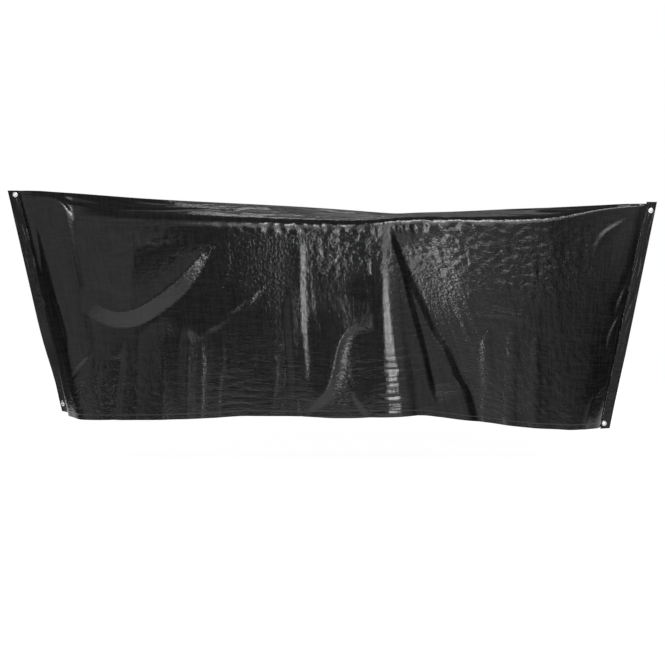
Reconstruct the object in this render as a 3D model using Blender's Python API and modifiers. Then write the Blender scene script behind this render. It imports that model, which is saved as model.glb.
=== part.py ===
"""Long bicycle cover: one folded sheet, two end bands and four corner eyelets.

Metres, +Z up. +X runs along the cover, -Y is the side that faces the viewer.
The origin lies under the sheet, below the lowest point of the ridge.
"""
from collections import namedtuple
from math import cos, exp, hypot, pi, radians, sin

import bmesh
import bpy
from mathutils import Matrix, Vector

# ---------------------------------------------------------------- driving sizes
CLEARANCE = 0.0003          # gap between touching pieces
SHEET_THICKNESS = 0.002
EDGE_HALF_WIDTH = 0.004     # half the outer width of the ridge and of each closed end
SHOULDER_RADIUS = 0.028     # rounding where the roof turns down into the wall

BAND_WIDTH = 0.048
BAND_THICKNESS = 0.003
BAND_FLAT = 0.0025          # strip beside the sheet that stays upright where a band curls
BAND_ROWS = 14
CURL_START = 0.55           # fraction of a band's height where its curl begins
CURL_END = 0.90

EYELET_RADIUS = 0.012
EYELET_HOLE_RADIUS = 0.006
EYELET_BARREL_RADIUS = 0.007
EYELET_FLANGE = 0.0008
EYELET_SEGMENTS = 28
BAND_HOLE_RADIUS = EYELET_BARREL_RADIUS + CLEARANCE

# ---------------------------------------------------------------- tables
# A band's outer edge, from the ridge to the hem. outward is its side along X, and
# curl is how far its lower part has turned away from the viewer, in degrees.
Band = namedtuple("Band", "name outward top_x top_z bottom_x bottom_z curl")
BANDS = (
    Band("left", -1, -1.8564, 0.1113, -1.6228, -0.9583, 40),
    Band("right", 1, 1.2399, 0.0577, 1.0376, -1.0382, 15),
)

# An eyelet's centre: from the band's inner edge, and from its upper or lower end.
Eyelet = namedtuple("Eyelet", "name band across from_top from_bottom")
EYELETS = (
    Eyelet("top_left", "left", 0.0172, 0.0166, None),
    Eyelet("bottom_left", "left", 0.0276, None, 0.0460),
    Eyelet("top_right", "right", 0.0280, 0.0374, None),
    Eyelet("bottom_right", "right", 0.0148, None, 0.0293),
)

# One row per section across the cover, between the bands: the ridge, the shoulder
# where the roof ends, the near wall's hem and the far wall's. out is the distance
# from the middle plane, and columns is how many strips of cloth lie before the next
# section. Where the near folds fan out from the low point, each has its own section.
Section = namedtuple(
    "Section",
    "ridge_x ridge_z shoulder_out shoulder_z hem_x hem_out hem_z far_out far_z columns")
SECTIONS = (
    Section(-1.796, 0.1109, 0.008, 0.0900, -1.579, 0.050, -0.9653, 0.046, -0.962, 1),
    Section(-1.768, 0.1109, 0.012, 0.0850, -1.550, 0.100, -0.9640, 0.094, -0.966, 1),
    Section(-1.710, 0.1098, 0.013, 0.0830, -1.498, 0.165, -0.9648, 0.155, -0.972, 1),
    Section(-1.645, 0.1058, 0.012, 0.0800, -1.445, 0.198, -0.9630, 0.186, -0.978, 1),
    Section(-1.598, 0.1025, 0.014, 0.0520, -1.408, 0.205, -0.9625, 0.196, -0.980, 1),
    Section(-1.545, 0.0990, 0.042, -0.0215, -1.366, 0.211, -0.9615, 0.204, -0.982, 3),
    Section(-1.410, 0.0888, 0.080, -0.0196, -1.250, 0.217, -0.9600, 0.216, -0.984, 4),
    Section(-1.211, 0.0740, 0.122, -0.0162, -1.080, 0.220, -0.9570, 0.224, -0.982, 4),
    Section(-0.974, 0.0605, 0.150, -0.0178, -0.878, 0.222, -0.9500, 0.230, -0.980, 4),
    Section(-0.777, 0.0509, 0.160, -0.0222, -0.705, 0.227, -0.9400, 0.232, -0.986, 5),
    Section(-0.460, 0.0343, 0.155, -0.0316, -0.420, 0.231, -0.9390, 0.226, -1.000, 4),
    Section(-0.268, 0.0214, 0.150, -0.0318, -0.220, 0.240, -0.9365, 0.222, -1.004, 4),
    Section(-0.055, 0.0050, 0.140, -0.0150, 0.000, 0.268, -0.9310, 0.232, -1.003, 2),
    Section(-0.030, 0.0036, 0.136, -0.0120, 0.115, 0.243, -0.9340, 0.236, -0.998, 2),
    Section(-0.010, 0.0031, 0.132, -0.0105, 0.202, 0.190, -0.9450, 0.230, -0.992, 2),
    Section(0.014, 0.0030, 0.134, -0.0090, 0.300, 0.220, -0.9600, 0.212, -0.990, 2),
    Section(0.045, 0.0042, 0.133, -0.0085, 0.395, 0.172, -0.9720, 0.200, -0.992, 1),
    Section(0.095, 0.0066, 0.138, -0.0087, 0.440, 0.206, -0.9780, 0.196, -0.996, 3),
    Section(0.240, 0.0102, 0.137, -0.0110, 0.510, 0.192, -0.9890, 0.192, -1.004, 3),
    Section(0.400, 0.0170, 0.130, -0.0140, 0.590, 0.178, -1.0000, 0.184, -1.012, 3),
    Section(0.560, 0.0246, 0.110, -0.0155, 0.675, 0.163, -1.0100, 0.168, -1.020, 3),
    Section(0.700, 0.0294, 0.088, -0.0140, 0.756, 0.143, -1.0165, 0.146, -1.026, 3),
    Section(0.830, 0.0352, 0.057, 0.0020, 0.833, 0.123, -1.0230, 0.122, -1.030, 3),
    Section(0.963, 0.0418, 0.030, 0.0230, 0.902, 0.095, -1.0235, 0.090, -1.033, 2),
    Section(1.070, 0.0471, 0.015, 0.0330, 0.949, 0.060, -1.0250, 0.056, -1.034, 2),
    Section(1.150, 0.0490, 0.008, 0.0360, 0.978, 0.028, -1.0270, 0.026, -1.034, 1),
)

# Rows of the sheet's mesh: along the roof up to the shoulder, and down the wall.
ROOF_ROWS = (0.0, 0.5)
WALL_ROWS = (0.10, 0.17, 0.24, 0.31, 0.38, 0.45, 0.52, 0.60, 0.68, 0.76, 0.84, 0.92, 1.0)

# Main folds: a route of (x, z) points over a wall, half the fold's width, how far it
# stands out (or dips in, where negative), and its profile.
Fold = namedtuple("Fold", "route half_width height profile")
NEAR_FOLDS = (
    # the swag at the left, the hollow above it and the belly below it
    Fold(((-1.50, -0.33), (-1.38, -0.485), (-1.26, -0.526), (-1.12, -0.456),
          (-0.98, -0.319), (-0.82, -0.18)), 0.055, 0.022, "round"),
    Fold(((-1.46, -0.24), (-1.28, -0.37), (-1.12, -0.34), (-1.00, -0.20)),
         0.110, -0.016, "round"),
    Fold(((-1.36, -0.70), (-1.12, -0.62), (-0.90, -0.44)), 0.120, 0.018, "round"),
    # the swag in the middle of the left half
    Fold(((-0.99, -0.66), (-0.84, -0.528), (-0.68, -0.387), (-0.54, -0.30)),
         0.050, 0.018, "round"),
    # the arched fold left of the main crease
    Fold(((-0.47, -0.93), (-0.334, -0.826), (-0.285, -0.72), (-0.262, -0.60),
          (-0.20, -0.518), (-0.10, -0.57)), 0.045, 0.016, "round"),
    # upright folds that run out at the hem
    Fold(((-1.25, -0.50), (-1.312, -0.797), (-1.34, -1.10)), 0.042, -0.026, "round"),
    Fold(((-1.38, -0.56), (-1.496, -0.726), (-1.60, -0.88)), 0.040, -0.012, "round"),
    Fold(((-1.06, -0.44), (-1.089, -0.725), (-1.10, -1.10)), 0.036, -0.022, "round"),
    Fold(((-0.97, -0.46), (-0.968, -0.725), (-0.97, -1.10)), 0.034, -0.016, "round"),
    Fold(((-0.86, -0.55), (-0.84, -0.80), (-0.83, -1.10)), 0.055, 0.018, "round"),
    Fold(((-0.58, -0.60), (-0.585, -0.85), (-0.59, -1.10)), 0.042, -0.020, "round"),
    Fold(((-0.505, -0.35), (-0.488, -0.68), (-0.478, -1.10)), 0.038, -0.012, "round"),
    Fold(((-0.45, -0.08), (-0.432, -0.443), (-0.414, -0.85)), 0.050, 0.010, "crease"),
    # the right wall
    Fold(((0.10, -0.33), (0.34, -0.40), (0.58, -0.49), (0.80, -0.52)),
         0.060, 0.014, "round"),
    Fold(((0.34, -0.34), (0.305, -0.60), (0.30, -0.78)), 0.040, -0.008, "round"),
    Fold(((0.57, -0.35), (0.58, -0.70), (0.59, -1.15)), 0.050, -0.018, "round"),
    Fold(((0.70, -0.60), (0.72, -0.85), (0.73, -1.15)), 0.045, 0.014, "round"),
    Fold(((1.12, -0.66), (0.995, -0.837), (0.84, -1.10)), 0.045, 0.012, "crease"),
    Fold(((1.16, -0.27), (1.09, -0.46), (1.00, -0.62)), 0.040, -0.007, "round"),
)
FAR_FOLDS = (
    Fold(((-1.52, -0.28), (-1.30, -0.47), (-1.00, -0.36), (-0.82, -0.16)),
         0.060, 0.018, "round"),
    Fold(((-1.30, -0.58), (-1.27, -1.12)), 0.045, -0.024, "round"),
    Fold(((-0.95, -0.50), (-0.98, -1.12)), 0.050, -0.020, "round"),
    Fold(((-0.62, -0.30), (-0.66, -1.14)), 0.055, 0.018, "round"),
    Fold(((-0.30, -0.42), (-0.31, -1.14)), 0.048, -0.020, "round"),
    Fold(((-0.05, -0.04), (-0.08, -0.45), (-0.13, -1.16)), 0.070, 0.022, "crease"),
    Fold(((0.03, -0.05), (0.14, -0.50), (0.26, -1.16)), 0.055, -0.024, "round"),
    Fold(((0.33, -0.30), (0.50, -0.62), (0.60, -1.15)), 0.050, -0.018, "round"),
    Fold(((0.75, -0.42), (0.72, -1.16)), 0.050, 0.012, "round"),
)
FOLD_FADE = 0.13            # a fold rises to its full height over this length
END_FADE = 0.10             # folds die out this close to the end bands

# Slow waves that run along both walls and grow towards the hem.
Wave = namedtuple("Wave", "length height phase")
WAVES = (Wave(0.62, 0.0045, 0.7), Wave(0.29, 0.0035, 2.1))

# The two walls: the side of the middle plane that each hangs on, its folds, and the
# shift of its waves.
Wall = namedtuple("Wall", "side folds phase")
NEAR_WALL = Wall(-1, NEAR_FOLDS, 0.0)
FAR_WALL = Wall(1, FAR_FOLDS, 1.9)

TARPAULIN_BLACK = (0.020, 0.020, 0.021, 1.0)
ALUMINIUM_GREY = (0.62, 0.63, 0.64, 1.0)


# ---------------------------------------------------------------- helpers
def clear_scene():
    """Remove whatever a new file holds."""
    for thing in list(bpy.data.objects):
        bpy.data.objects.remove(thing, do_unlink=True)


def make_collection(name):
    """A new collection in the scene."""
    collection = bpy.data.collections.new(name)
    bpy.context.scene.collection.children.link(collection)
    return collection


def make_material(name, colour, roughness, metallic):
    """A plain Principled material."""
    material = bpy.data.materials.new(name)
    material.use_nodes = True
    shader = material.node_tree.nodes["Principled BSDF"]
    shader.inputs["Base Color"].default_value = colour
    shader.inputs["Roughness"].default_value = roughness
    shader.inputs["Metallic"].default_value = metallic
    return material


def mesh_object(name, mesh_data, collection, material):
    """A mesh object from a bmesh, which is freed."""
    mesh = bpy.data.meshes.new(name)
    mesh_data.to_mesh(mesh)
    mesh_data.free()
    mesh.materials.append(material)
    thing = bpy.data.objects.new(name, mesh)
    collection.objects.link(thing)
    return thing


def smoothstep(value):
    """0 below 0, 1 above 1, and a smooth rise between."""
    value = min(max(value, 0.0), 1.0)
    return value * value * (3.0 - 2.0 * value)


def mix(start, end, fraction):
    """The value that lies a fraction of the way from start to end."""
    return start + (end - start) * fraction


# ---------------------------------------------------------------- bands
def curl_angle(band, down):
    """How far the band's free part has turned at a fraction down its height."""
    return radians(band.curl) * smoothstep((down - CURL_START) / (CURL_END - CURL_START))


def band_drop(band):
    """The band's outer edge as a vector from the ridge down to the hem."""
    return Vector((band.bottom_x - band.top_x, 0.0, band.bottom_z - band.top_z))


def inner_edge(band, down):
    """A point on the band's inner edge, which is straight from the ridge to the hem."""
    drop = band_drop(band)
    upright = abs(drop.z) / drop.length
    free = BAND_WIDTH - BAND_FLAT
    top_width = BAND_WIDTH / upright
    bottom_width = (BAND_FLAT + free * cos(radians(band.curl))) / upright
    outer = Vector((band.top_x, 0.0, band.top_z)) + drop * down
    outer.x -= band.outward * mix(top_width, bottom_width, down)
    return outer


def band_axes(band, down):
    """Unit vectors at a height: along the band, out across its free part, its normal."""
    along = (inner_edge(band, 1.0) - inner_edge(band, 0.0)).normalized()
    level = Vector((-along.z, 0.0, along.x)) * band.outward
    angle = curl_angle(band, down)
    across = level * cos(angle) + Vector((0.0, sin(angle), 0.0))
    return along, level, across, along.cross(across).normalized()


def band_point(band, across_by, down, slant=0.0):
    """A point in the band's middle plane, measured out from its inner edge.

    slant shifts it along the band by that share of its distance from the edge.
    """
    along, level, across, normal = band_axes(band, down)
    flat = min(across_by, BAND_FLAT)
    start = inner_edge(band, down) + along * (across_by * slant)
    return start + level * flat + across * (across_by - flat)


def make_band(band, collection, material):
    """A band with level ends: a flat strip beside the sheet and a part that may curl."""
    along, level, across, normal = band_axes(band, 0.0)
    slant = -level.z / along.z
    surface = bmesh.new()
    rows = []
    for row in range(BAND_ROWS + 1):
        down = row / BAND_ROWS
        widths = (0.0, BAND_FLAT, BAND_WIDTH)
        points = [band_point(band, width, down, slant) for width in widths]
        rows.append([surface.verts.new(point) for point in points])
    for upper, lower in zip(rows, rows[1:]):
        for step in range(len(upper) - 1):
            surface.faces.new((upper[step], upper[step + 1], lower[step + 1], lower[step]))
    bmesh.ops.triangulate(surface, faces=surface.faces)
    bmesh.ops.recalc_face_normals(surface, faces=surface.faces)
    thing = mesh_object("end_band_" + band.name, surface, collection, material)
    shell = thing.modifiers.new("thickness", "SOLIDIFY")
    shell.thickness = BAND_THICKNESS
    shell.offset = 0.0
    shell.use_even_offset = True
    return thing


# ---------------------------------------------------------------- eyelets
def eyelet_frame(eyelet, band):
    """The eyelet's matrix: its own Z along the band's normal, at its centre."""
    length = (inner_edge(band, 1.0) - inner_edge(band, 0.0)).length
    from_top = eyelet.from_top
    if from_top is None:
        from_top = length - eyelet.from_bottom
    down = from_top / length
    along, level, across, normal = band_axes(band, down)
    turn = Matrix((across, along, across.cross(along))).transposed().to_4x4()
    return Matrix.Translation(band_point(band, eyelet.across, down)) @ turn


def make_eyelet(eyelet, band, collection, material):
    """A spool-shaped eyelet: a barrel through the band, and a flange on each face."""
    seat = BAND_THICKNESS / 2 + CLEARANCE
    face = seat + EYELET_FLANGE
    bevel = EYELET_FLANGE * 0.4
    profile = (
        (EYELET_HOLE_RADIUS + bevel, face),
        (EYELET_RADIUS - bevel, face),
        (EYELET_RADIUS, seat),
        (EYELET_BARREL_RADIUS, seat),
        (EYELET_BARREL_RADIUS, -seat),
        (EYELET_RADIUS, -seat),
        (EYELET_RADIUS - bevel, -face),
        (EYELET_HOLE_RADIUS + bevel, -face),
        (EYELET_HOLE_RADIUS, -seat),
        (EYELET_HOLE_RADIUS, seat),
    )
    outline = bmesh.new()
    points = [outline.verts.new((radius, 0.0, height)) for radius, height in profile]
    for step in range(len(points)):
        outline.edges.new((points[step - 1], points[step]))
    thing = mesh_object("eyelet_" + eyelet.name, outline, collection, material)
    turned = thing.modifiers.new("turned", "SCREW")
    turned.angle = 2 * pi
    turned.steps = EYELET_SEGMENTS
    turned.render_steps = EYELET_SEGMENTS
    turned.use_merge_vertices = True
    turned.merge_threshold = 0.00005
    thing.matrix_world = eyelet_frame(eyelet, band)
    return thing


def cut_eyelet_hole(eyelet, band, strip, cutters):
    """Cut the hole that the eyelet's barrel passes through."""
    drill = bmesh.new()
    bmesh.ops.create_cone(
        drill, cap_ends=True, segments=EYELET_SEGMENTS,
        radius1=BAND_HOLE_RADIUS, radius2=BAND_HOLE_RADIUS, depth=6 * BAND_THICKNESS)
    mesh = bpy.data.meshes.new("hole_" + eyelet.name)
    drill.to_mesh(mesh)
    drill.free()
    cutter = bpy.data.objects.new("hole_" + eyelet.name, mesh)
    cutters.objects.link(cutter)
    cutter.matrix_world = eyelet_frame(eyelet, band)
    cutter.hide_render = True
    cutter.display_type = "WIRE"
    cut = strip.modifiers.new("hole_" + eyelet.name, "BOOLEAN")
    cut.operation = "DIFFERENCE"
    cut.solver = "EXACT"
    cut.object = cutter


# ---------------------------------------------------------------- sheet
def end_section(band, neighbour, columns):
    """The section at a closed end, along the band's inner edge and just clear of it."""
    top = inner_edge(band, 0.0)
    drop = inner_edge(band, 1.0) - top
    clear = band.outward * CLEARANCE * drop.length / abs(drop.z)
    ridge_x = top.x - clear + drop.x * (neighbour.ridge_z - top.z) / drop.z
    hem_x = top.x - clear + drop.x * (neighbour.hem_z - top.z) / drop.z
    return neighbour._replace(
        ridge_x=ridge_x, shoulder_out=EDGE_HALF_WIDTH, hem_x=hem_x,
        hem_out=EDGE_HALF_WIDTH, far_out=EDGE_HALF_WIDTH, far_z=neighbour.hem_z,
        columns=columns)


def all_sections():
    """The table's sections with the two closed ends added."""
    left, right = BANDS
    return (end_section(left, SECTIONS[0], 1), *SECTIONS, end_section(right, SECTIONS[-1], 0))


def slopes(places, values):
    """Slopes of a smooth curve through the values that never overshoots them."""
    steps = [(values[k + 1] - values[k]) / (places[k + 1] - places[k])
             for k in range(len(places) - 1)]
    result = [steps[0]]
    for before, after in zip(steps, steps[1:]):
        level = before * after <= 0.0
        result.append(0.0 if level else 2.0 * before * after / (before + after))
    return result + [steps[-1]]


def in_between(start, end, start_slope, end_slope, gap, fraction):
    """A value on the smooth curve between two neighbouring sections."""
    square = fraction * fraction
    cube = square * fraction
    return (start * (2 * cube - 3 * square + 1) + end * (3 * square - 2 * cube)
            + gap * (start_slope * (cube - 2 * square + fraction)
                     + end_slope * (cube - square)))


def spread_sections(sections):
    """Sections at every column of the sheet, smoothly between those of the table."""
    places = [section.ridge_x for section in sections]
    tangents = [slopes(places, values) for values in zip(*sections)]
    spread = []
    for index, (here, after) in enumerate(zip(sections, sections[1:])):
        gap = after.ridge_x - here.ridge_x
        for step in range(here.columns):
            fraction = step / here.columns
            values = [in_between(start, end, slope[index], slope[index + 1], gap, fraction)
                      for start, end, slope in zip(here, after, tangents)]
            spread.append(Section(*values))
    return spread + [sections[-1]]


def nearest_on_route(route, x, z):
    """Distance to a route, and how far along it the nearest point lies."""
    best = (1e9, 0.0)
    travelled = 0.0
    for (x0, z0), (x1, z1) in zip(route, route[1:]):
        length = hypot(x1 - x0, z1 - z0)
        along = ((x - x0) * (x1 - x0) + (z - z0) * (z1 - z0)) / length ** 2
        along = min(max(along, 0.0), 1.0)
        away = hypot(x - mix(x0, x1, along), z - mix(z0, z1, along))
        best = min(best, (away, travelled + along * length))
        travelled += length
    return best[0], best[1], travelled


def fold_height(fold, x, z):
    """How far a fold lifts the wall at a place."""
    away, along, length = nearest_on_route(fold.route, x, z)
    away /= fold.half_width
    if fold.profile == "crease":
        lift = max(0.0, 1.0 - away)
    else:
        lift = exp(-away * away * 1.6)
    fade = smoothstep(along / FOLD_FADE) * smoothstep((length - along) / FOLD_FADE)
    return fold.height * lift * fade


def wave_height(x, down, phase):
    """Slow waves along the wall, still at the shoulder and largest at the hem."""
    lift = sum(wave.height * sin(2 * pi * x / wave.length + wave.phase + phase)
               for wave in WAVES)
    return lift * down ** 1.5


def wall_relief(wall, x, z, down, to_end):
    """All that the folds and waves add to the wall's plain surface."""
    lift = wave_height(x, down, wall.phase)
    lift += sum(fold_height(fold, x, z) for fold in wall.folds)
    return lift * smoothstep(down / 0.12) * smoothstep(to_end / END_FADE)


def section_points(section, wall, ends):
    """One wall's points at a section, from the ridge to the hem."""
    near = wall is NEAR_WALL
    hem_out = section.hem_out if near else section.far_out
    hem_z = section.hem_z if near else section.far_z
    fall = (section.ridge_z - section.shoulder_z) / (section.ridge_z - hem_z)
    shoulder_x = mix(section.ridge_x, section.hem_x, fall)
    ridge = Vector((section.ridge_x, EDGE_HALF_WIDTH, section.ridge_z))
    shoulder = Vector((shoulder_x, section.shoulder_out, section.shoulder_z))
    hem = Vector((section.hem_x, hem_out, hem_z))
    roof_length = (shoulder - ridge).length
    wall_length = (hem - shoulder).length
    rounding = min(SHOULDER_RADIUS, 0.45 * roof_length)
    before = shoulder.lerp(ridge, rounding / roof_length)
    after = shoulder.lerp(hem, rounding / wall_length)
    corner = before * 0.25 + shoulder * 0.5 + after * 0.25
    points = [ridge.lerp(before, row) for row in ROOF_ROWS] + [before, corner, after]
    for row in WALL_ROWS:
        point = after.lerp(hem, row)
        to_end = min(point.x - mix(ends[0].ridge_x, ends[0].hem_x, row),
                     mix(ends[1].ridge_x, ends[1].hem_x, row) - point.x)
        point.y += wall_relief(wall, point.x, point.z, row, to_end)
        point.y = max(point.y, EDGE_HALF_WIDTH)
        points.append(point)
    return [Vector((point.x, wall.side * point.y, point.z)) for point in points]


def make_sheet(collection, material):
    """The cover's sheet: folded over the ridge, closed at both ends, open below."""
    sections = all_sections()
    ends = (sections[0], sections[-1])
    surface = bmesh.new()
    near = []
    far = []
    for section in spread_sections(sections):
        for wall, columns in ((NEAR_WALL, near), (FAR_WALL, far)):
            points = section_points(section, wall, ends)
            columns.append([surface.verts.new(point) for point in points])
    rings = [front[::-1] + back for front, back in zip(near, far)]
    for ring, following in zip(rings, rings[1:]):
        for row in range(len(ring) - 1):
            surface.faces.new((ring[row], following[row], following[row + 1], ring[row + 1]))
    for front, back in ((near[0], far[0]), (far[-1], near[-1])):
        for row in range(len(front) - 1):
            surface.faces.new((back[row], back[row + 1], front[row + 1], front[row]))
    bmesh.ops.triangulate(surface, faces=surface.faces, quad_method="SHORT_EDGE")
    bmesh.ops.recalc_face_normals(surface, faces=surface.faces)
    thing = mesh_object("cover_sheet", surface, collection, material)
    shell = thing.modifiers.new("thickness", "SOLIDIFY")
    shell.thickness = SHEET_THICKNESS
    shell.offset = -1.0
    shell.use_even_offset = True
    shell.use_quality_normals = True
    return thing


# ---------------------------------------------------------------- the cover
def build_cover():
    """All the pieces of the cover."""
    clear_scene()
    pieces = make_collection("bicycle_cover")
    cutters = make_collection("cutters")
    tarpaulin = make_material("tarpaulin", TARPAULIN_BLACK, 0.35, 0.0)
    aluminium = make_material("aluminium", ALUMINIUM_GREY, 0.35, 1.0)
    make_sheet(pieces, tarpaulin)
    for band in BANDS:
        strip = make_band(band, pieces, tarpaulin)
        for eyelet in EYELETS:
            if eyelet.band == band.name:
                cut_eyelet_hole(eyelet, band, strip, cutters)
                make_eyelet(eyelet, band, pieces, aluminium)


build_cover()
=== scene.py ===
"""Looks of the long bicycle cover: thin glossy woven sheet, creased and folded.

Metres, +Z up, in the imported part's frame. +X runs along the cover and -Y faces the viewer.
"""

from collections import namedtuple
from math import cos, pi, radians, sin

import bpy
import numpy as np
from mathutils import Matrix, Vector


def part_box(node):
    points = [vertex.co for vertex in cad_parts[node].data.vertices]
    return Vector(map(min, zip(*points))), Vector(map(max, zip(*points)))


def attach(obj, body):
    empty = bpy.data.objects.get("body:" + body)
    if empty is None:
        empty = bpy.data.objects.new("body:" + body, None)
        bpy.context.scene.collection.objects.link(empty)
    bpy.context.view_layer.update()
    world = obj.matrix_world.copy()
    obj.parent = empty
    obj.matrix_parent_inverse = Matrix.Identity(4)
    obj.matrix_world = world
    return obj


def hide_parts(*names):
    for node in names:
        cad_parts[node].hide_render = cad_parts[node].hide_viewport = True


# ---------------------------------------------------------------- sizes shared with the solids
BAND_WIDTH = 0.048
BAND_FLAT = 0.0025          # strip beside the sheet that stays upright where a band curls
CURL_START = 0.55           # fraction of a band's height where its curl begins
CURL_END = 0.90
EYELET_RADIUS = 0.012
EYELET_HOLE_RADIUS = 0.006

# ---------------------------------------------------------------- sizes of the fine sheet
EDGE_HALF_WIDTH = 0.0009    # half the width of the fold at the ridge and at each closed end
EDGE_CLEARANCE = 0.0004     # gap between the sheet and a band
SHOULDER_RADIUS = 0.040     # rounding where the roof turns down into the wall
SHOULDER_SHARE = 0.26       # the rounding takes at most this share of the roof's width
COLUMN_WIDTH = 0.00715      # mean width of a column of faces
BAND_GRID = 0.0024          # size of a band's faces
BAND_THICKNESS = 0.0016
BAND_HOLE = 0.0080          # radius of the hole that an eyelet covers
WELD_INSET = 0.006          # from a band's inner edge to its weld line
WELD_HALF_WIDTH = 0.0022
WELD_DEPTH = 0.0005
EYELET_CALM = 0.012         # a band lies flat round an eyelet, and is itself again this far off
EYELET_SEGMENTS = 64
BAND_SEARCH_STEPS = 1200    # heights tried to find where on its band an eyelet lies
EYELETS = {"left": ("top_left", "bottom_left"), "right": ("top_right", "bottom_right")}

# A band's outer edge, from the ridge to the hem. outward is its side along X, curl is how far
# its lower part has turned away from the viewer, in degrees, and seed starts its noise.
Band = namedtuple("Band", "name outward top_x top_z bottom_x bottom_z curl seed")
BANDS = (
    Band("left", -1, -1.8564, 0.1113, -1.6228, -0.9583, 40, 5),
    Band("right", 1, 1.2399, 0.0577, 1.0376, -1.0382, 15, 9),
)

# One row per section across the cover: the ridge, the shoulder where the roof ends, the
# near wall's hem and the far wall's. out is the distance from the middle plane.
Section = namedtuple(
    "Section", "ridge_x ridge_z shoulder_out shoulder_z hem_x hem_out hem_z far_out far_z")
SECTIONS = (
    Section(-1.796, 0.1109, 0.008, 0.0900, -1.579, 0.050, -0.9653, 0.046, -0.962),
    Section(-1.768, 0.1109, 0.015, 0.0850, -1.550, 0.104, -0.9640, 0.094, -0.966),
    Section(-1.710, 0.1098, 0.024, 0.0830, -1.498, 0.174, -0.9648, 0.155, -0.972),
    Section(-1.645, 0.1058, 0.034, 0.0800, -1.445, 0.1985, -0.9630, 0.186, -0.978),
    Section(-1.598, 0.1025, 0.046, 0.0520, -1.408, 0.205, -0.9625, 0.196, -0.980),
    Section(-1.545, 0.0990, 0.060, -0.0215, -1.366, 0.211, -0.9615, 0.204, -0.982),
    Section(-1.410, 0.0888, 0.090, -0.0196, -1.250, 0.217, -0.9600, 0.216, -0.984),
    Section(-1.211, 0.0740, 0.122, -0.0162, -1.080, 0.217, -0.9570, 0.224, -0.982),
    Section(-0.974, 0.0605, 0.144, -0.0178, -0.878, 0.219, -0.9500, 0.230, -0.980),
    Section(-0.777, 0.0509, 0.150, -0.0222, -0.705, 0.223, -0.9400, 0.232, -0.986),
    Section(-0.460, 0.0343, 0.151, -0.0316, -0.420, 0.231, -0.9390, 0.226, -1.018),
    Section(-0.268, 0.0214, 0.157, -0.0318, -0.220, 0.243, -0.9365, 0.222, -1.024),
    Section(-0.076, 0.0067, 0.166, -0.0175, -0.068, 0.2565, -0.9325, 0.230, -1.023),
    Section(-0.064, 0.0058, 0.1655, -0.0148, 0.024, 0.2545, -0.9316, 0.233, -1.020),
    Section(-0.030, 0.0036, 0.163, -0.0120, 0.115, 0.240, -0.9340, 0.236, -1.012),
    Section(-0.010, 0.0031, 0.159, -0.0105, 0.202, 0.227, -0.9450, 0.230, -0.992),
    Section(0.014, 0.0030, 0.156, -0.0090, 0.300, 0.215, -0.9600, 0.212, -0.990),
    Section(0.045, 0.0042, 0.152, -0.0085, 0.395, 0.204, -0.9720, 0.200, -0.992),
    Section(0.095, 0.0066, 0.147, -0.0087, 0.440, 0.200, -0.9780, 0.196, -0.996),
    Section(0.240, 0.0102, 0.141, -0.0110, 0.510, 0.192, -0.9890, 0.192, -1.004),
    Section(0.400, 0.0170, 0.130, -0.0140, 0.590, 0.178, -1.0000, 0.184, -1.012),
    Section(0.560, 0.0246, 0.110, -0.0155, 0.675, 0.163, -1.0100, 0.168, -1.020),
    Section(0.700, 0.0294, 0.088, -0.0140, 0.756, 0.143, -1.0165, 0.146, -1.026),
    Section(0.830, 0.0352, 0.057, 0.0020, 0.833, 0.126, -1.0230, 0.122, -1.030),
    Section(0.963, 0.0418, 0.030, 0.0230, 0.902, 0.106, -1.0235, 0.090, -1.033),
    Section(1.070, 0.0471, 0.015, 0.0330, 0.949, 0.078, -1.0250, 0.056, -1.034),
    Section(1.150, 0.0490, 0.008, 0.0360, 0.978, 0.044, -1.0270, 0.026, -1.034),
)

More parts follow.
